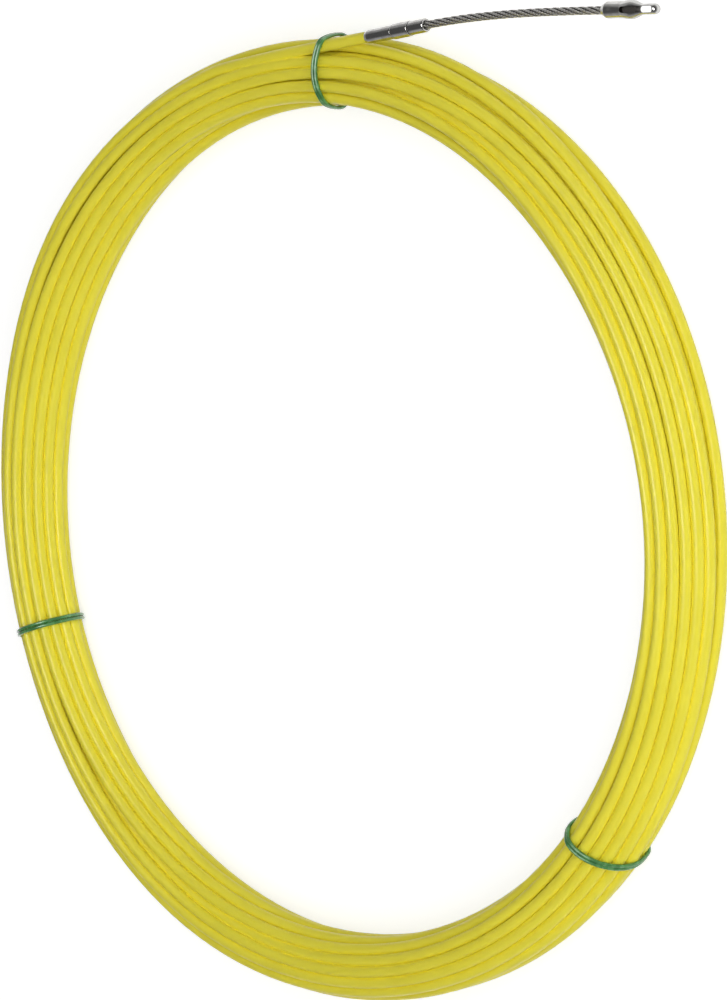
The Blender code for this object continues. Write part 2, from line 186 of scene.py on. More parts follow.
floor_half = FLOOR_SIDE / 2
table_top = bpy.data.meshes.new("studio_table")
table_corners = [(-floor_half, -floor_half), (floor_half, -floor_half),
                 (floor_half, floor_half), (-floor_half, floor_half)]
table_top.from_pydata([(x, y, -FLOOR_DROP) for x, y in table_corners], [], [(0, 1, 2, 3)])
table = bpy.data.objects.new("studio_table", table_top)
bpy.context.scene.collection.objects.link(table)

table_paper = bpy.data.materials.new("table_paper")
table_paper.use_nodes = True
graph = Wire(table_paper.node_tree)
grain = graph.add("TexNoise", {}, {"Scale": 90.0, "Detail": 3.0})
paper = grain.mix(grey(FLOOR_TONE), grey(FLOOR_TONE + FLOOR_GRAIN))
matt = graph.add("BsdfDiffuse", {}, {"Color": paper})
glow = graph.add("Emission", {}, {"Color": grey(1.0), "Strength": FLOOR_GLOW})
glowing = graph.add("AddShader", {}, {0: matt, 1: glow})
shown = graph.add("MixShader", {}, {0: seen_rays(graph), 1: matt, 2: glowing})
graph.feed(table_paper.node_tree.nodes["Material Output"].inputs["Surface"], shown)
table_top.materials.append(table_paper)

studio = bpy.data.worlds.new("studio")
studio.use_nodes = True
bpy.context.scene.world = studio
graph = Wire(studio.node_tree)
looking = graph.add("TexCoord", {}, {}, "Generated")
looking_up = graph.add("SeparateXYZ", {}, {0: looking}, "Z")
lower_walls = looking_up.rise(0.0, WALL_FROM).mix(grey(HORIZON_TONE), grey(WALL_TONE))
walls = looking_up.rise(CEILING_FROM, CEILING_TO).mix(lower_walls, grey(CEILING_TONE))
room = graph.add("Background", {}, {"Color": walls, "Strength": 1.0})
fill = graph.add("Background", {}, {"Color": grey(1.0), "Strength": ROOM_FILL})
shown = graph.add("MixShader", {}, {0: seen_rays(graph), 1: fill, 2: room})
graph.feed(studio.node_tree.nodes["World Output"].inputs["Surface"], shown)

softbox("broad_lamp", LAMP_AT, LAMP_SIZE, LAMP_WATTS, mirrored=False)
softbox("soft_box", BOX_AT, BOX_SIZE, BOX_WATTS, mirrored=True)

# Tape
# One unbroken rod of glossy yellow polyamide, 4 mm thick, wound by hand into some twenty turns. It is
# springy, so its turns run in long smooth curves, wander between the ties and crowd together at them.
ROD = 0.004
FULL_TURNS = 20
REAR_ANGLE = 193.0
LEAVE_ANGLE = 88.0
STATIONS = 72
RUN_STATIONS = 3
EYE_STATIONS = 2
COIL_RADIUS = 0.1565
LAYERS = 4
CROSSOVER_TURNS = 0.5
START_PITCH = (0.0043, 0.0039)
WANDER = 0.0028
WANDER_STATIONS = 36
WANDER_SEED = 21
SPRING_SPREAD = 6.0
LAST_SPREAD = 2.3
SPARE_ROOM = 0.71
SECTION_POWER = 2.1
SECTION_FILL = 0.80
SETTLING = 500
LAST_STEPS = 220
# Shares of a move that one step of settling makes: springing straight, giving way and filling the band
SPRING = 0.5
LAST_SPRING = 0.1
GIVE = 0.3
FILL_RATE = 0.1
PUSHES = 3
ELBOW_ROOM = 1.01
# Angles round the coil in degrees, half the width of the bundle there as the camera sees it, and how far
# its middle stands out
BAND = ((33, 0.0153, 0.0001), (58, 0.0141, 0.0005), (92, 0.0118, -0.0003), (133, 0.0147, 0.0006),
        (163, 0.0125, -0.0005), (190, 0.0114, -0.0002), (232, 0.0132, 0.0004), (276, 0.0113, -0.0011),
        (310, 0.0129, 0.0004), (340, 0.0134, 0.0001))
TIE_WIRE = 0.0013
TIE_ANGLES = (80.0, 189.0, 312.3)
# The lowest rods' rise over a tie: its reach in degrees, its flattened top, and its height in wires
TIE_LIFT_REACH = 16.0
TIE_LIFT_FLAT = 1.4
TIE_LIFT_WIRES = 1.5
REAR_EYE_HALF_WIDTH = 0.0032
TAPE_SIDES = 18
POINTS_PER_STATION = 2
UP = np.array([0.0, 0.0, 1.0])


def end_middle(node, way):
    """The middle of a CAD node's end face: the mean of its points that lie furthest along a direction."""
    mesh = frame["nodes"][node].data
    points = np.empty(3 * len(mesh.vertices))
    mesh.vertices.foreach_get("co", points)
    points = np.unique(points.reshape(-1, 3).round(6), axis=0)
    reach = points @ way
    return points[reach > reach.max() - 1e-5].mean(axis=0)


def facing(degrees):
    """The level direction at an angle from +X towards +Y."""
    angle = np.radians(degrees)
    return np.array([np.cos(angle), np.sin(angle), 0.0])


def first_winding(turn):
    """Places of the rod in a hand-wound bundle, in steps out from the middle and in layers up.

    Each layer spirals inwards or outwards at a steady rate, and climbs to the next one over half a turn.
    """
    layer_turns = (turns - (LAYERS - 1) * CROSSOVER_TURNS) / LAYERS
    stage = layer_turns + CROSSOVER_TURNS
    layer = np.minimum(np.floor(turn / stage), LAYERS - 1)
    done = turn - layer * stage
    inwards = 1 - 2 * (layer % 2)
    climb = np.clip((done - layer_turns) / CROSSOVER_TURNS, 0, 1)
    return np.stack([inwards * (layer_turns / 2 - np.minimum(done, layer_turns)), layer + climb], axis=1)


def between(knots, angle):
    """Values that go round the coil through rows of (angle, values), with a smooth step between each."""
    knots = np.array(knots, float)
    knots = np.concatenate([knots[-1:], knots, knots[:1]])
    at, value = knots[:, 0], knots[:, 1:]
    at[0] -= 360
    at[-1] += 360
    angle = np.mod(angle, 360)
    left = np.clip(np.searchsorted(at, angle, side="right") - 1, 0, len(at) - 2)
    share = ((angle - at[left]) / (at[left + 1] - at[left]))[:, None]
    return value[left] + (value[left + 1] - value[left]) * share * share * (3 - 2 * share)


def tie_lift(angle):
    """How far the lowest rods stand off the floor: more than a wire at a tie, and none far from it."""
    away = np.abs(np.mod(angle[:, None] - np.array(TIE_ANGLES) + 180, 360) - 180).min(axis=1)
    share = np.clip(TIE_LIFT_FLAT - TIE_LIFT_FLAT * away / TIE_LIFT_REACH, 0, 1)
    return TIE_LIFT_WIRES * TIE_WIRE * share * share * (3 - 2 * share)


def smoothed(line, spread):
    """A line of points averaged along itself with bell-shaped weights, and mirrored on past its ends."""
    reach = int(3 * spread)
    weights = np.exp(-0.5 * (np.arange(-reach, reach + 1) / spread) ** 2)
    weights /= weights.sum()
    before = 2 * line[:1] - line[reach:0:-1]
    after = 2 * line[-1:] - line[-2:-reach - 2:-1]
    longer = np.concatenate([before, line, after])
    return np.stack([np.convolve(part, weights, "valid") for part in longer.T], axis=1)


def settled_rod(start, held, angle, thickness):
    """The rod's places (out, up) after it has sprung into shape inside its bundle.

    Three moves repeat: bends sharper than the rod can take are smoothed out, points outside the bundle's
    section move in, and rods that cross one station nearer than they are thick push each other apart.
    The section is an oval, as wide as the photographed band and as deep as the rods then need, and the
    rods spread and close up with it, so that its outermost rods lie on the band's edges.
    """
    wide, shift = between(BAND, angle).T
    deep = turns * np.pi * (ROD / 2) ** 2 / SPARE_ROOM / (4 * SECTION_FILL * wide)
    lean = np.stack([sight[0] * np.cos(np.radians(angle)), np.full(len(angle), sight[2])], axis=1)
    lean /= np.linalg.norm(lean, axis=1, keepdims=True)
    broad = np.stack([lean[:, 1], -lean[:, 0]], axis=1)
    middle = shift[:, None] * broad
    swell = np.einsum("n,ni,nj->nij", wide / wide.mean(), broad, broad)
    swell += np.einsum("n,ni,nj->nij", deep / deep.mean(), lean, lean)
    shrink = np.linalg.inv(swell)
    lowest = ROD / 2 - coil_centre[2] + tie_lift(angle)
    rounds = -(-len(angle) // STATIONS)
    spot = np.arange(rounds * STATIONS).reshape(rounds, STATIONS)
    real = spot < len(angle)
    spot = np.where(real, spot, 0)
    pair = real[:, None] & real[None] & ~np.eye(rounds, dtype=bool)[:, :, None]
    room = ELBOW_ROOM * (thickness[spot][:, None] + thickness[spot][None]) / 2
    column = np.arange(len(angle)) % STATIONS
    place = start.copy()
    free = ~held[:, None]
    for step in range(SETTLING):
        even = np.einsum("nij,nj->ni", shrink, place - middle)
        once = smoothed(even, SPRING_SPREAD)
        springy = np.einsum("nij,nj->ni", swell, 2 * once - smoothed(once, SPRING_SPREAD)) + middle
        spring = SPRING if step < SETTLING - LAST_STEPS else LAST_SPRING
        place += free * spring * (springy - place)
        across = ((place - middle) * broad).sum(axis=1) / (wide - ROD / 2)
        along = ((place - middle) * lean).sum(axis=1) / (deep - ROD / 2)
        outside = (np.abs(across) ** SECTION_POWER + np.abs(along) ** SECTION_POWER) ** (1 / SECTION_POWER)
        too_far = np.maximum(1 - 1 / np.maximum(outside, 1e-6), 0)[:, None]
        place -= free * GIVE * too_far * (place - middle)
        edges = [edge(np.where(real, across[spot], 0), axis=0)[column] for edge in (np.max, np.min)]
        filled = (2 * across - edges[0] - edges[1]) / (edges[0] - edges[1])
        place += free * FILL_RATE * ((filled - across) * (wide - ROD / 2))[:, None] * broad
        for push in range(PUSHES):
            apart = place[spot][:, None] - place[spot][None]
            distance = np.linalg.norm(apart, axis=-1) + 1e-9
            short = np.where(pair, np.maximum(room - distance, 0), 0) / distance
            moved = np.zeros_like(place)
            moved[spot[real]] = GIVE * (apart * short[..., None]).sum(axis=1)[real]
            place += free * moved
        place[:, 1] += free[:, 0] * np.maximum(lowest - place[:, 1], 0)
    return np.where(free, smoothed(place, LAST_SPREAD), place)


def through(knots, per_span):
    """A smooth curve through points: each span is the cubic that takes its slope from the next points."""
    padded = np.concatenate([2 * knots[:1] - knots[1:2], knots, 2 * knots[-1:] - knots[-2:-1]])
    share = np.arange(per_span)[None, :, None] / per_span
    a, b, c, d = (padded[i:len(padded) - 3 + i, None] for i in range(4))
    curve = b + 0.5 * share * (c - a + share * (2 * a - 5 * b + 4 * c - d + share * (3 * (b - c) + d - a)))
    return np.concatenate([curve.reshape(-1, knots.shape[1]), knots[-1:]])


def rings(path, radius, sides, side):
    """Rings of points round a path, each square to it, with the first point of each on the given side."""
    ahead = np.gradient(path, axis=0)
    ahead /= np.linalg.norm(ahead, axis=1, keepdims=True)
    first = side - (side * ahead).sum(axis=1, keepdims=True) * ahead
    first /= np.linalg.norm(first, axis=1, keepdims=True)
    second = np.cross(ahead, first)
    swing = np.linspace(0, 2 * np.pi, sides + 1)[None, :, None]
    spoke = np.cos(swing) * first[:, None] + np.sin(swing) * second[:, None]
    return path[:, None] + np.reshape(radius, (-1, 1, 1)) * spoke


def closed_ends(grid):
    """A grid with one more row at each end, drawn together to the middle of the end row."""
    first = np.broadcast_to(grid[0, :-1].mean(axis=0), grid[:1].shape)
    last = np.broadcast_to(grid[-1, :-1].mean(axis=0), grid[:1].shape)
    return np.concatenate([first, grid, last])


def add_piece(name, grids, material, body, crease=40):
    """A mesh of one or more grids of points, rows by columns, with a face between each four neighbours.

    A grid that comes back to its start repeats its first row or column there, and the two are merged. The
    UV map gives the metres along a grid's rows and the share of the way along its columns.
    """
    points = np.concatenate([grid.reshape(-1, 3) for grid in grids])
    faces = []
    uvs = []
    offset = 0
    for grid in grids:
        rows, columns = grid.shape[:2]
        index = offset + np.arange(rows * columns).reshape(rows, columns)
        steps = np.linalg.norm(np.diff(grid.mean(axis=1), axis=0), axis=1)
        along = np.concatenate([[0], np.cumsum(steps)])
        uv = np.stack(np.meshgrid(along, np.linspace(0, 1, columns), indexing="ij"), axis=-1)
        for layer, store in ((index, faces), (uv, uvs)):
            corners = (layer[:-1, :-1], layer[:-1, 1:], layer[1:, 1:], layer[1:, :-1])
            store.append(np.stack(corners, axis=2).reshape(-1, 4, *layer.shape[2:]))
        offset += rows * columns
    mesh = bpy.data.meshes.new(name)
    mesh.from_pydata(points, [], np.concatenate(faces).tolist())
    mesh.uv_layers.new(name="along_and_round").uv.foreach_set("vector", np.concatenate(uvs).ravel())
    shell = bmesh.new()
    shell.from_mesh(mesh)
    bmesh.ops.remove_doubles(shell, verts=shell.verts, dist=1e-7)
    shell.to_mesh(mesh)
    shell.free()
    mesh.shade_smooth()
    mesh.set_sharp_from_angle(angle=np.radians(crease))
    mesh.materials.append(material)
    piece = bpy.data.objects.new(name, mesh)
    bpy.context.scene.collection.objects.link(piece)
    if body:
        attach(piece, body)
    return piece


def finish_of(name, constants):
    """A material, its shader with these constant sockets set, and a wire to build its graph with."""
    material = bpy.data.materials.new(name)
    material.use_nodes = True
    shader = material.node_tree.nodes["Principled BSDF"]
    for socket, value in constants.items():
        shader.inputs[socket].default_value = value
    return material, shader, Wire(material.node_tree)


def yellow_polyamide():
    """Glossy extruded plastic that lets light in: faint lines along the rod, and a slightly uneven gloss."""
    glossy_plastic = {"IOR": 1.53, "Specular IOR Level": 0.3, "Subsurface Weight": 1.0,
                      "Subsurface Radius": (1.0, 0.9, 0.3), "Subsurface Scale": 0.0015}
    material, shader, graph = finish_of("yellow_polyamide", glossy_plastic)
    shader.subsurface_method = "BURLEY"
    uv = graph.add("TexCoord", {}, {}, "UV")
    along = graph.add("SeparateXYZ", {}, {0: uv}, "X")
    turn = graph.add("SeparateXYZ", {}, {0: uv}, "Y") * (2 * np.pi)
    across = graph.add("Math", {"operation": "COSINE"}, {0: turn})
    upright = graph.add("Math", {"operation": "SINE"}, {0: turn})
    on_rod = graph.add("CombineXYZ", {}, {"X": along * 4.0, "Y": across, "Z": upright})
    die_lines = graph.add("TexNoise", {}, {"Vector": on_rod, "Scale": 9.0, "Detail": 3.0})
    where = graph.add("TexCoord", {}, {}, "Object")
    clouds = graph.add("TexNoise", {}, {"Vector": where, "Scale": 45.0, "Detail": 2.0})
    scuffs = graph.add("TexNoise", {}, {"Vector": where, "Scale": 1400.0, "Detail": 2.0})
    tone = clouds.rise(0.3, 0.7).mix((0.880, 0.787, 0.057, 1.0), (0.906, 0.813, 0.064, 1.0))
    graph.feed(shader.inputs["Base Color"], tone)
    graph.feed(shader.inputs["Roughness"], 0.22 + 0.10 * die_lines + 0.05 * scuffs)
    bump = {"Strength": 0.12, "Distance": 0.00004, "Height": die_lines + 0.3 * scuffs}
    graph.feed(shader.inputs["Normal"], graph.add("Bump", {}, bump))
    return material


leader_way = np.array([joint for joint in frame["joints"] if joint["name"] == "nut_turn"][0]["axis"])
rear_way = facing(REAR_ANGLE + 90)
ferrule_at = end_middle("front_ferrule", -leader_way)
rear_eye_at = end_middle("rear_eye", -rear_way)

turns = FULL_TURNS + (REAR_ANGLE - LEAVE_ANGLE) / 360
last_station = round(turns * STATIONS)
station = np.arange(-EYE_STATIONS, last_station + RUN_STATIONS + 1)
station_angle = REAR_ANGLE - station * 360 / STATIONS
leader_heading = np.degrees(np.arctan2(leader_way[1], leader_way[0]))
leave_radius = (ferrule_at - coil_centre) @ facing(leader_heading + 90)
rear_radius = (rear_eye_at - coil_centre) @ facing(REAR_ANGLE)
winding = first_winding(np.clip(station, 0, last_station) / STATIONS)
start = (winding - [0, (LAYERS - 1) / 2]) * START_PITCH
draw = np.random.default_rng(WANDER_SEED)
wander_at = np.arange(station[0], station[-1] + WANDER_STATIONS, WANDER_STATIONS)
wander = draw.normal(0, WANDER, (len(wander_at), 2))
start += np.stack([np.interp(station, wander_at, part) for part in wander.T], axis=1)
at_rear = station <= 1
at_front = station >= last_station - 1
bow_rear = 1 / np.cos(np.radians(np.minimum(REAR_ANGLE - station_angle[at_rear], 0)))
past_leave = leader_heading + 90 - 360 * FULL_TURNS - station_angle[at_front]
bow_front = 1 / np.cos(np.radians(np.maximum(past_leave, 0)))
start[at_rear, 0] = rear_radius * bow_rear - COIL_RADIUS
start[at_rear, 1] = rear_eye_at[2] - coil_centre[2]
start[at_front, 0] = leave_radius * bow_front - COIL_RADIUS
start[at_front, 1] = ferrule_at[2] - coil_centre[2]
thickness = np.where(station < 0, 2 * REAR_EYE_HALF_WIDTH, ROD)
rod_place = settled_rod(start, at_rear | at_front, station_angle, thickness)

kept = station >= 0
rod_curve = through(np.column_stack([station_angle, rod_place])[kept], POINTS_PER_STATION)
rod_angle = rod_curve[:, 0]
outwards = np.stack([np.cos(np.radians(rod_angle)), np.sin(np.radians(rod_angle))], axis=1)
rod_path = np.column_stack([coil_centre[:2] + (COIL_RADIUS + rod_curve[:, 1:2]) * outwards,
                            coil_centre[2] + rod_curve[:, 2]])
rod_path = np.concatenate([rear_eye_at[None], rod_path])
tape_grid = closed_ends(rings(rod_path, ROD / 2, TAPE_SIDES, UP))
tape = add_piece("tape_rod", [tape_grid], yellow_polyamide(), "coil")
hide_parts("tape_coil")

# Rear eye
# The end fitting at the tape's far end: a bright plated steel shank, crimped on to the rod, that is
# forged into a flat ring for hanging the tape up or for pulling it back by.
SHANK_LENGTH = 0.0120
SHANK_DIAMETER = 0.0048
SHANK_MOUTH = 0.0043
SHANK_TAPER = 0.0008
SHANK_SHOULDER = 0.0012
SHANK_ROUNDING = 0.0004
CRIMPED_FROM = 0.0014
CRIMPED_TO = 0.0100
CRIMPED_ROWS = 40
CRIMP_DEPTH = 0.00030
CRIMP_WIDTH = 0.0015
CRIMPS_AT = (0.0035, 0.0070)
RING_THICKNESS = 0.0024
RING_WALL = 0.0016
RING_HOLE_WIDTH = 0.0032
RING_HOLE_LENGTH = 0.0044
RING_ROUNDING = 0.0005
RING_SINK = 0.0005
RING_STEPS = 96
RING_CREASE = 30
# A rounded corner takes at most this share of a side, and its sides have one more point just off it
CORNER_SHARE = 0.45
CORNER_LEAD = 0.2
TURNED_SIDES = 72


def rounded(corners, radius, steps=5):
    """A profile whose inner corners are rounded: each is a curve that touches both its straight sides."""
    corners = np.array(corners, float)
    here = corners[1:-1]
    reach = []
    for other in (corners[:-2], corners[2:]):
        side = other - here
        length = np.linalg.norm(side, axis=1, keepdims=True)
        reach.append(side / length * np.minimum(radius, CORNER_SHARE * length))
    share = np.concatenate([[-CORNER_LEAD], np.linspace(0, 1, steps), [1 + CORNER_LEAD]])[None, :, None]
    inside = np.clip(share, 0, 1)
    curve = here[:, None] + (1 - inside) ** 2 * reach[0][:, None] + inside ** 2 * reach[1][:, None]
    curve += np.maximum(-share, 0) * reach[0][:, None] + np.maximum(share - 1, 0) * reach[1][:, None]
    return np.concatenate([corners[:1], curve.reshape(-1, 2), corners[-1:]])


def spokes(way):
    """Directions square to a level axis, from straight up and once round it."""
    swing = np.linspace(0, 2 * np.pi, TURNED_SIDES + 1)[:, None]
    return np.cos(swing) * UP + np.sin(swing) * np.cross(way, UP)


def turned(profile, at, way):
    """A profile of (along, radius) pairs carried round an axis that starts at a point, in a level way."""
    path = at + profile[:, :1] * way
    return path[:, None] + profile[:, 1, None, None] * spokes(way)


def plated_steel():
    """Bright plated steel off a lathe: fine rings round the axis, and light smears in the gloss."""
    material, shader, graph = finish_of("plated_steel", {"Metallic": 1.0})
    uv = graph.add("TexCoord", {}, {}, "UV")
    stretch = graph.add("Mapping", {}, {"Vector": uv, "Scale": (9000.0, 1.0, 1.0)})
    lathe_rings = graph.add("TexNoise", {}, {"Vector": stretch, "Scale": 1.0, "Detail": 2.0})
    where = graph.add("TexCoord", {}, {}, "Object")
    smears = graph.add("TexNoise", {}, {"Vector": where, "Scale": 350.0, "Detail": 4.0})
    tone = smears.rise(0.35, 0.75).mix((0.60, 0.595, 0.58, 1.0), (0.49, 0.48, 0.465, 1.0))
    graph.feed(shader.inputs["Base Color"], tone)
    graph.feed(shader.inputs["Roughness"], 0.13 + 0.12 * smears.rise(0.4, 0.8) + 0.05 * lathe_rings)
    bump = {"Strength": 0.10, "Distance": 0.00002, "Height": lathe_rings}
    graph.feed(shader.inputs["Normal"], graph.add("Bump", {}, bump))
    return material


def oval(way, width, length, count):
    """Points round a level slot, half circles joined by straight sides, and the way out at each point."""
    swing = np.linspace(0, 2 * np.pi, count + 1)[:, None]
    outward = np.cos(swing) * way + np.sin(swing) * np.cross(UP, way)
    straight = (length - width) / 2 * np.where(np.cos(swing) >= 0, 1, -1)
    return straight * way + width / 2 * outward, outward


def flat_ring(middle, way):
    """A rounded strip's section carried round a slot's oval, its flat sides up and down."""
    track, outward = oval(way, RING_HOLE_WIDTH + RING_WALL, RING_HOLE_LENGTH + RING_WALL, RING_STEPS)
    box = np.array([(-1, -1), (-1, 1), (1, 1), (1, -1), (-1, -1)]) * [RING_WALL / 2, RING_THICKNESS / 2]
    start = (box[:1] + box[1:2]) / 2
    section = rounded(np.concatenate([start, box[1:], start]), RING_ROUNDING)
    lift = section[:, 1][None, :, None] * UP
    return middle + track[:, None] + section[:, 0][None, :, None] * outward[:, None] + lift


def dented(profile, places, depth, width):
    """A profile with a soft groove pressed into it at each place along it."""
    along = profile[:, :1]
    dent = np.exp(-((along - np.array(places)[None]) / (width / 2)) ** 2).sum(axis=1)
    return np.column_stack([profile[:, 0], profile[:, 1] - depth * dent])


steel = plated_steel()
ring_reach = SHANK_LENGTH - RING_SINK + RING_WALL + RING_HOLE_LENGTH / 2
shank_line = rounded([(0, 0), (0, SHANK_MOUTH / 2), (SHANK_TAPER, SHANK_DIAMETER / 2),
                      (SHANK_LENGTH - SHANK_SHOULDER, SHANK_DIAMETER / 2),
                      (SHANK_LENGTH, RING_THICKNESS / 2), (SHANK_LENGTH, 0)], SHANK_ROUNDING)
crimped_along = np.linspace(CRIMPED_FROM, CRIMPED_TO, CRIMPED_ROWS)
crimped_wall = np.column_stack([crimped_along, np.full(CRIMPED_ROWS, SHANK_DIAMETER / 2)])
shank_line = np.concatenate([shank_line[shank_line[:, 0] < CRIMPED_FROM], crimped_wall,
                             shank_line[shank_line[:, 0] > CRIMPED_TO]])
shank = turned(dented(shank_line, CRIMPS_AT, CRIMP_DEPTH, CRIMP_WIDTH), rear_eye_at, rear_way)
eye_ring = flat_ring(rear_eye_at + ring_reach * rear_way, rear_way)
rear_eye = add_piece("hanging_eye", [shank, eye_ring], steel, "coil", RING_CREASE)
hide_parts("rear_eye")

# Front ferrule
# A bright turned sleeve crimped over the tape's front end. It ends in a short threaded spigot inside the
# coupling nut, which shows only while the leader is unscrewed.
FERRULE_LENGTH = 0.0123
FERRULE_DIAMETER = 0.0048
FERRULE_MOUTH = 0.0042
FERRULE_TAPER = 0.0012
SPIGOT_LENGTH = 0.0049
SPIGOT_DIAMETER = 0.0029
THREAD_PITCH = 0.0005
THREAD_DEPTH = 0.00028
THREAD_ROWS = 14
FLANK_SLOPE = 1.3
FLANK_DROP = 0.15
EDGE_ROUNDING = 0.00018


def threaded(start, length, diameter, at, way):
    """A screw thread: the radius falls and rises like a tent once in each pitch, shifted with the turn."""
    along = np.linspace(start, start + length, int(THREAD_ROWS * length / THREAD_PITCH))
    share = np.linspace(0, 1, TURNED_SIDES + 1)
    phase = np.mod(along[:, None] / THREAD_PITCH - share[None], 1)
    flank = np.clip(np.abs(2 * phase - 1) * FLANK_SLOPE - FLANK_DROP, 0, 1)
    fade = np.clip(np.minimum(along - start, start + length - along) / THREAD_PITCH, 0, 1)
    radius = diameter / 2 - THREAD_DEPTH + THREAD_DEPTH * flank * fade[:, None]
    return at + along[:, None, None] * way + radius[..., None] * spokes(way)


sleeve = turned(rounded([(0, 0), (0, FERRULE_MOUTH / 2), (FERRULE_TAPER, FERRULE_DIAMETER / 2),
                         (FERRULE_LENGTH, FERRULE_DIAMETER / 2), (FERRULE_LENGTH, 0)],
                        EDGE_ROUNDING), ferrule_at, leader_way)
spigot = closed_ends(threaded(FERRULE_LENGTH - THREAD_PITCH, SPIGOT_LENGTH + THREAD_PITCH, SPIGOT_DIAMETER,
                              ferrule_at, leader_way))
ferrule = add_piece("tape_ferrule", [sleeve, spigot], steel, "coil")
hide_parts("front_ferrule")

# Coupling nut
# A loose turned sleeve on the leader that screws on to the spigot. It is a little wider than its
# neighbours, with both edges broken, and hollow, with a wall at its front that holds the collar's head.
NUT_DIAMETER = 0.00535
NUT_END_WALL = 0.0012
NUT_BORE = 0.0030
NUT_CHAMBER = 0.0044
NUT_NECK_HOLE = 0.0033
NUT_EDGE = 0.00025

nut_at = end_middle("coupling_nut", -leader_way)
nut_length = (end_middle("coupling_nut", leader_way) - nut_at) @ leader_way
nut_corners = [(SPIGOT_LENGTH, NUT_BORE / 2), (0, NUT_BORE / 2), (0, NUT_DIAMETER / 2),
               (nut_length, NUT_DIAMETER / 2), (nut_length, NUT_NECK_HOLE / 2),
               (nut_length - NUT_END_WALL, NUT_NECK_HOLE / 2), (nut_length - NUT_END_WALL, NUT_CHAMBER / 2),
               (SPIGOT_LENGTH, NUT_CHAMBER / 2), (SPIGOT_LENGTH, NUT_BORE / 2)]
nut = add_piece("leader_nut", [turned(rounded(nut_corners, NUT_EDGE), nut_at, leader_way)], steel,
                "coupling")
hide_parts("coupling_nut")

# Rope collar
# A turned collar pressed on to the wire rope. Its head turns inside the coupling nut, and its front edge
# is rounded over and shut tight on the rope.
COLLAR_DIAMETER = 0.0048
COLLAR_ROUNDING = 0.0007
COLLAR_NECK = 0.0029
COLLAR_HEAD = 0.0040
COLLAR_HEAD_LENGTH = 0.0010
COLLAR_PLAY = 0.0003
COLLAR_MOUTH = 0.0030
COLLAR_SOCKET = 0.0050
COLLAR_LIP = 0.0010
COLLAR_STEPS = 9

collar_end = end_middle("rope_collar", leader_way)
neck_end = end_middle("coupling_nut", leader_way) + COLLAR_PLAY * leader_way
collar_length = (collar_end - neck_end) @ leader_way
head_end = -NUT_END_WALL - 2 * COLLAR_PLAY
collar_back = rounded([(head_end - COLLAR_HEAD_LENGTH, 0), (head_end - COLLAR_HEAD_LENGTH, COLLAR_HEAD / 2),
                       (head_end, COLLAR_HEAD / 2), (head_end, COLLAR_NECK / 2), (0, COLLAR_NECK / 2),
                       (0, COLLAR_DIAMETER / 2), (collar_length / 2, COLLAR_DIAMETER / 2)], EDGE_ROUNDING)
collar_front = rounded([(collar_length / 2, COLLAR_DIAMETER / 2), (collar_length, COLLAR_DIAMETER / 2),
                        (collar_length, COLLAR_MOUTH / 2), (collar_length - COLLAR_LIP, COLLAR_MOUTH / 2)],
                       COLLAR_ROUNDING, COLLAR_STEPS)
socket_end = collar_length - COLLAR_SOCKET
collar_bore = np.array([(socket_end, COLLAR_MOUTH / 2), (socket_end, 0)])
collar_line = np.concatenate([collar_back, collar_front, collar_bore])
collar = add_piece("leader_collar", [turned(collar_line, neck_end, leader_way)], steel, "leader")
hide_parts("rope_collar")

# Wire rope
# Six strands of bright steel wire laid right-handed, each of six wires laid the other way round a seventh,
# so that the wires lie along the rope. It is stiff, and bends a little on its way from the collar.
ROPE_DIAMETER = 0.0029
ROPE_FREE_LENGTH = 0.0786
ROPE_SOCKET = 0.0047
ROPE_BEND = 7.5
ROPE_LAY = 0.0226
STRANDS = 6
STRAND_WIRES = 6
STRAND_LAY = 0.0072
WIRE_SIDES = 6
ROPE_ROWS = 190
ROPE_CREASE = 80


def rope_line():
    """Points of the rope's middle line, and its length at each: bent most at the collar, like a held rod."""
    whole = ROPE_FREE_LENGTH + 2 * ROPE_SOCKET
    along = np.linspace(0, whole, ROPE_ROWS)
    share = np.clip((along - ROPE_SOCKET) / ROPE_FREE_LENGTH, 0, 1)
    heading = np.radians(leader_heading - ROPE_BEND * share * (2 - share))
    way = np.column_stack([np.cos(heading), np.sin(heading), np.zeros(ROPE_ROWS)])
    steps = (way[1:] + way[:-1]) / 2 * np.diff(along)[:, None]
    line = collar_end - ROPE_SOCKET * leader_way + np.concatenate([[[0, 0, 0]], np.cumsum(steps, axis=0)])
    return line, along


def helix(line, first, second, along, lay, phase, radius):
    """A line wound round another one: it turns once in each lay, at a radius, from a phase."""
    turn = 2 * np.pi * (along / lay + phase)[:, None]
    spoke = np.cos(turn) * first + np.sin(turn) * second
    return line + radius * spoke, spoke


def rope_steel():
    """Bare drawn wire with random oily patches, its colour painted: near-black painted shade where the wires meet,
    bright on their crests.
    """
    material, shader, graph = finish_of("rope_steel", {"Metallic": 1.0})
    where = graph.add("TexCoord", {}, {}, "Object")
    oil = graph.add("TexNoise", {}, {"Vector": where, "Scale": 900.0, "Detail": 3.0})
    depth = graph.add("Attribute", {"attribute_name": "height"}, {}, "Fac")
    # Painted shade: this mask takes the colour to near black low down between the wires, where the grooves lie in
    # shade, and to bright steel on the crests.
    crest_light_groove_shade = (depth + 0.12 * oil).rise(0.85, 1.03)
    tone = crest_light_groove_shade.mix((0.055, 0.050, 0.045, 1.0), (0.90, 0.88, 0.84, 1.0))
    graph.feed(shader.inputs["Base Color"], tone)
    graph.feed(shader.inputs["Roughness"], 0.42 - 0.18 * crest_light_groove_shade)
    bump = {"Strength": 0.15, "Distance": 0.00002, "Height": oil}
    graph.feed(shader.inputs["Normal"], graph.add("Bump", {}, bump))
    return material


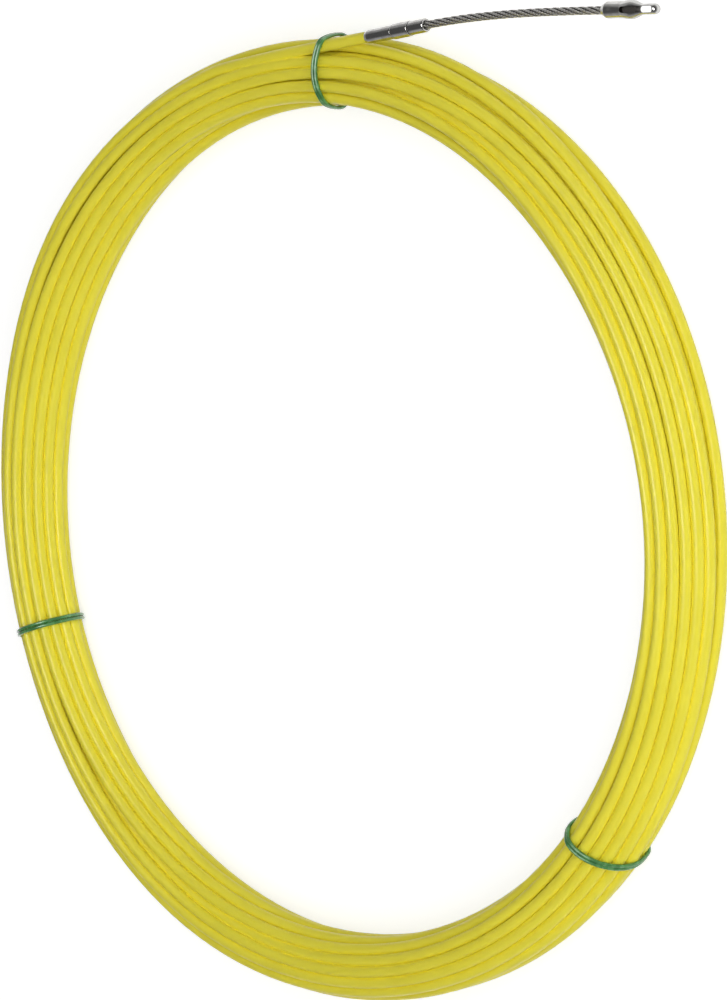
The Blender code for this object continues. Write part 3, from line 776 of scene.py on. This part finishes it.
rope_path, rope_along = rope_line()
rope_ahead = np.gradient(rope_path, axis=0)
rope_ahead /= np.linalg.norm(rope_ahead, axis=1, keepdims=True)
rope_up = np.broadcast_to(UP, rope_path.shape)
rope_aside = np.cross(rope_ahead, rope_up)
strand_radius = ROPE_DIAMETER / 6
wire_radius = strand_radius / 3
wire_grids = []
for strand in range(STRANDS):
    strand_path, out = helix(rope_path, rope_up, rope_aside, rope_along, ROPE_LAY, strand / STRANDS,
                             ROPE_DIAMETER / 2 - strand_radius)
    strand_ahead = np.gradient(strand_path, axis=0)
    strand_ahead /= np.linalg.norm(strand_ahead, axis=1, keepdims=True)
    round_strand = np.cross(strand_ahead, out)
    for wire in range(STRAND_WIRES):
        wire_path, wire_out = helix(strand_path, out, round_strand, rope_along, -STRAND_LAY,
                                    wire / STRAND_WIRES, strand_radius - wire_radius)
        wire_grids.append(closed_ends(rings(wire_path, wire_radius, WIRE_SIDES, wire_out)))
rope = add_piece("leader_cable", wire_grids, rope_steel(), None, ROPE_CREASE)
rope_points = np.empty(3 * len(rope.data.vertices))
rope.data.vertices.foreach_get("co", rope_points)
rope_points = rope_points.reshape(-1, 3)
# Each point's height above the rope's middle, stored for the rope's material to paint shade into the grooves
# between wires.
near = np.abs(rope_points[:, None, 0] - rope_path[None, :, 0]).argmin(axis=1)
wire_height = np.linalg.norm(np.cross(rope_points - rope_path[near], rope_ahead[near]), axis=1)
wire_height = (wire_height / (ROPE_DIAMETER / 2)).astype(np.float32)
rope.data.attributes.new("height", "FLOAT", "POINT").data.foreach_set("value", wire_height)
tip_at = end_middle("eye_tip", -rope_ahead[-1])
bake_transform(rope)
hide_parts("leader_rope")

# Eye tip
# A turned steel tip pressed on to the rope: a plain body, a bulb that rides over joints in the conduit,
# and a narrow nose. A slot for the pulled wire goes right through, with a groove behind it on each face.
TIP_LENGTH = 0.0232
TIP_MOUTH = 0.0030
TIP_SOCKET = 0.0040
TIP_REAR_FACE = 0.0042
TIP_REAR_CHAMFER = 0.0017
TIP_BODY = 0.0057
TIP_BODY_LENGTH = 0.0082
TIP_BULB = 0.0064
TIP_BULB_RISE = 0.0036
TIP_BULB_FALL = 0.0052
TIP_NOSE = 0.0036
EYE_WIDTH = 0.0021
EYE_LENGTH = 0.0071
EYE_END_WALL = 0.0019
GROOVE_LENGTH = 0.0128
EYE_WEB = 0.0026
TIP_ROWS = 14
TIP_CREASE = 35
SLOT_STEPS = 48


def tip_profile():
    """Half the tip's outline: chamfer, body, a quarter wave up to the bulb, half a wave down to the nose."""
    back = rounded([(TIP_SOCKET, TIP_MOUTH / 2), (0, TIP_MOUTH / 2), (0, TIP_REAR_FACE / 2),
                    (TIP_REAR_CHAMFER, TIP_BODY / 2), (TIP_BODY_LENGTH, TIP_BODY / 2)], EDGE_ROUNDING)
    share = np.linspace(0, 1, TIP_ROWS)[1:]
    rise = np.column_stack([TIP_BODY_LENGTH + TIP_BULB_RISE * share,
                            TIP_BODY / 2 + (TIP_BULB - TIP_BODY) / 2 * np.sin(np.pi / 2 * share)])
    fall = np.column_stack([TIP_BODY_LENGTH + TIP_BULB_RISE + TIP_BULB_FALL * share,
                            TIP_BULB / 2 + (TIP_NOSE - TIP_BULB) / 2 * (1 - np.cos(np.pi * share)) / 2])
    swing = np.linspace(0, np.pi / 2, TIP_ROWS)
    nose = np.column_stack([TIP_LENGTH - TIP_NOSE / 2 * (1 - np.sin(swing)), TIP_NOSE / 2 * np.cos(swing)])
    return np.concatenate([back, rise, fall, nose])


def shaded_slot_steel():
    """Near-black steel for the slot's walls: painted shade, with fine cutter marks."""
    material, shader, graph = finish_of("shaded_slot_steel", {"Metallic": 1.0})
    where = graph.add("TexCoord", {}, {}, "Object")
    marks = graph.add("TexNoise", {}, {"Vector": where, "Scale": 2500.0, "Detail": 2.0})
    # Painted shade: the slot's walls are coloured near black, where the real slot lies in shade.
    tone = marks.mix((0.055, 0.050, 0.047, 1.0), (0.105, 0.098, 0.09, 1.0))
    graph.feed(shader.inputs["Base Color"], tone)
    graph.feed(shader.inputs["Roughness"], 0.40 + 0.15 * marks)
    return material


def slot_cutter(name, start, length, low, high):
    """An upright prism over a slot's oval, which starts at a place along the tip."""
    ahead = rope_ahead[-1]
    track = oval(ahead, EYE_WIDTH, length, SLOT_STEPS)[0]
    middle = tip_at + (start + length / 2) * ahead
    levels = np.array([low, high])[:, None, None] * UP
    grid = closed_ends((middle + track)[None] + levels)
    return add_piece(name, [grid], slot_shade_steel, None)


# The slot and its grooves take this near-black painted shade from their cutters.
slot_shade_steel = shaded_slot_steel()
eye_start = TIP_LENGTH - EYE_END_WALL - EYE_LENGTH
groove_start = TIP_LENGTH - EYE_END_WALL - GROOVE_LENGTH
tip_line = np.concatenate([[(TIP_SOCKET, 0)], tip_profile()])
eye_tip = add_piece("pulling_tip", [turned(tip_line, tip_at, rope_ahead[-1])], steel, "tip",
                    TIP_CREASE)
cutters = [slot_cutter("eye_cut", eye_start, EYE_LENGTH, -TIP_BULB, TIP_BULB),
           slot_cutter("upper_groove_cut", groove_start, GROOVE_LENGTH, EYE_WEB / 2, TIP_BULB),
           slot_cutter("lower_groove_cut", groove_start, GROOVE_LENGTH, -TIP_BULB, -EYE_WEB / 2)]
for cutter in cutters:
    cut = eye_tip.modifiers.new(cutter.name, "BOOLEAN")
    cut.object = cutter
    cut.solver = "EXACT"
    cut.material_mode = "TRANSFER"
bpy.context.view_layer.update()
shaped = bpy.data.meshes.new_from_object(eye_tip.evaluated_get(bpy.context.evaluated_depsgraph_get()))
eye_tip.modifiers.clear()
eye_tip.data = shaped
shaped.set_sharp_from_angle(angle=np.radians(TIP_CREASE))
for cutter in cutters:
    bpy.data.objects.remove(cutter)
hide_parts("eye_tip")

# Ties
# Three lengths of green plastic-coated wire. Each goes twice round the bundle, drawn tight over its outer
# rods, and its ends are twisted together where the camera doesn't see them.
TIE_PITCH = 0.00133
TIE_TURNS = 2
TIE_SIDES = 14
TWIST_LENGTH = 0.0090
TWIST_TURNS = 1.5
TWIST_STAND_OFF = 0.0021
TWIST_AT = -52.0
LEAD_SWING = 34.0
TIE_STIFFNESS = 8.0
TIE_SLACK = 0.4
TIE_CLEARANCE = 0.00002
TIE_SWINGS = 720
LOOP_SAMPLES = 900
LOOP_POINTS = 150
TWIST_POINTS = 16
# Where the twisted ends start along the rods, in pitches, and how high they lie at least, in wires
TWIST_START = 1.6
TWIST_REST = 1.1
TIE_POINTS_PER_SPAN = 3
# Name of the node, the sides that the twisted ends are on and run to, how far the tie leans along the rods
# for its height, and how far its middle is pushed along them on the upper side
TIES = (("tie_by_leader", 1, -1, -0.18, 0.0028), ("tie_by_rear_eye", 1, -1, 0.0, 0.0),
        ("tie_opposite", -1, 1, -0.42, 0.0))


def rods_at(angle):
    """Outward offset and height of each turn of the rod where it passes an angle round the coil."""
    passes = angle - 360.0 * np.arange(-1, FULL_TURNS + 2)
    passes = passes[(passes <= rod_angle[0]) & (passes >= rod_angle[-1])]
    return np.stack([np.interp(-passes, -rod_angle, part) for part in rod_curve[:, 1:].T], axis=1)


def drawn_round(rods, reach, swing):
    """A stiff wire drawn round rods: a closed convex curve, given by its distance out at each swing.

    That distance is the furthest rod's, averaged over nearby swings so that the wire has no sharp bend, and
    let out by part of what it then lacks, as a tight wire beds into a soft rod. The curve's point is the
    distance along the swing's way, and its rate of change square to that.
    """
    turn = np.linspace(-np.pi, np.pi, TIE_SWINGS + 1)[:-1]
    way = np.stack([np.cos(turn), np.sin(turn)], axis=1)
    furthest = (way @ rods.T).max(axis=1)
    spread = np.exp(-0.5 * (turn / np.radians(TIE_STIFFNESS)) ** 2)
    blur = np.fft.fft(np.fft.ifftshift(spread / spread.sum()))
    distance = np.fft.ifft(np.fft.fft(furthest) * blur).real
    distance += reach + TIE_SLACK * (furthest - distance).max()
    rate = np.gradient(np.tile(distance, 3), turn[1] - turn[0])[TIE_SWINGS:2 * TIE_SWINGS]
    out = np.interp(swing, turn, distance, period=2 * np.pi)
    aside = np.interp(swing, turn, rate, period=2 * np.pi)
    return (out[:, None] * np.stack([np.cos(swing), np.sin(swing)], axis=1)
            + aside[:, None] * np.stack([-np.sin(swing), np.cos(swing)], axis=1))


def tie_path(rods, lean, bow):
    """Places (out, along, up) of a tie's wire from one twisted end, twice round the rods, to the other."""
    reach = (ROD + TIE_WIRE) / 2 + TIE_CLEARANCE
    last_swing = TWIST_AT + 360 * TIE_TURNS - LEAD_SWING
    swing = np.radians(np.linspace(TWIST_AT + LEAD_SWING, last_swing, LOOP_SAMPLES))
    tight = drawn_round(rods, reach, swing)
    length = np.concatenate([[0], np.cumsum(np.linalg.norm(np.diff(tight, axis=0), axis=1))])
    even = np.linspace(0, length[-1], LOOP_POINTS)
    flat = np.stack([np.interp(even, length, part) for part in tight.T], axis=1)
    flat[:, 1] = np.maximum(flat[:, 1], TIE_WIRE / 2 - coil_centre[2])
    turn = np.interp(even, length, (swing - swing.mean()) / (2 * np.pi))
    middle = (flat.max(axis=0) + flat.min(axis=0)) / 2
    reach_out, reach_up = ((flat - middle) / (flat.max(axis=0) - middle)).T
    pushed = bow * np.maximum(reach_up, 0) * (1 - reach_out ** 2)
    loops = np.column_stack([flat[:, 0], TIE_PITCH * turn + lean * flat[:, 1] + pushed, flat[:, 1]])
    foot = drawn_round(rods, reach + TWIST_STAND_OFF, np.radians([TWIST_AT]))[0]
    foot[1] = max(foot[1], TWIST_REST * TIE_WIRE - coil_centre[2])
    share = np.linspace(0, 1, TWIST_POINTS)
    ends = []
    for half_turn in (0, 0.5):
        roll = 2 * np.pi * (TWIST_TURNS * share + half_turn) + np.pi / 2
        ends.append(np.column_stack([foot[0] + TIE_WIRE / 2 * np.cos(roll),
                                     lean * foot[1] + TWIST_START * TIE_PITCH + TWIST_LENGTH * share,
                                     foot[1] + TIE_WIRE / 2 * np.sin(roll)]))
    return through(np.concatenate([ends[0][::-1], loops, ends[1]]), TIE_POINTS_PER_SPAN)


def green_coating():
    """Glossy soft plastic over wire: clear-coated, a little streaked, with paler patches at random."""
    clear_coated = {"IOR": 1.5, "Coat Weight": 1.0, "Coat Roughness": 0.05}
    material, shader, graph = finish_of("green_coating", clear_coated)
    where = graph.add("TexCoord", {}, {}, "Object")
    streaks = graph.add("TexNoise", {}, {"Vector": where, "Scale": 420.0, "Detail": 3.0})
    tone = streaks.rise(0.35, 0.7).mix((0.040, 0.188, 0.043, 1.0), (0.094, 0.319, 0.092, 1.0))
    graph.feed(shader.inputs["Base Color"], tone)
    graph.feed(shader.inputs["Roughness"], 0.18 + 0.16 * streaks)
    bump = {"Strength": 0.15, "Distance": 0.00004, "Height": streaks}
    graph.feed(shader.inputs["Normal"], graph.add("Bump", {}, bump))
    return material


green = green_coating()
for angle, (node, side, run, lean, bow) in zip(TIE_ANGLES, TIES):
    rods = rods_at(angle) * [side, 1]
    local = tie_path(rods, run * lean, run * bow)
    bundle_middle = rods.mean(axis=0)
    wire_side = local - np.array([bundle_middle[0], 0, bundle_middle[1]])
    wire_side[:, 1] = 0
    axes = np.stack([side * facing(angle), run * facing(angle + 90), UP])
    foot_of_section = coil_centre + COIL_RADIUS * facing(angle)
    wire_grid = closed_ends(rings(foot_of_section + local @ axes, TIE_WIRE / 2, TIE_SIDES, wire_side @ axes))
    tie = add_piece(node.replace("tie", "green_tie"), [wire_grid], green, "coil")
    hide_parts(node)
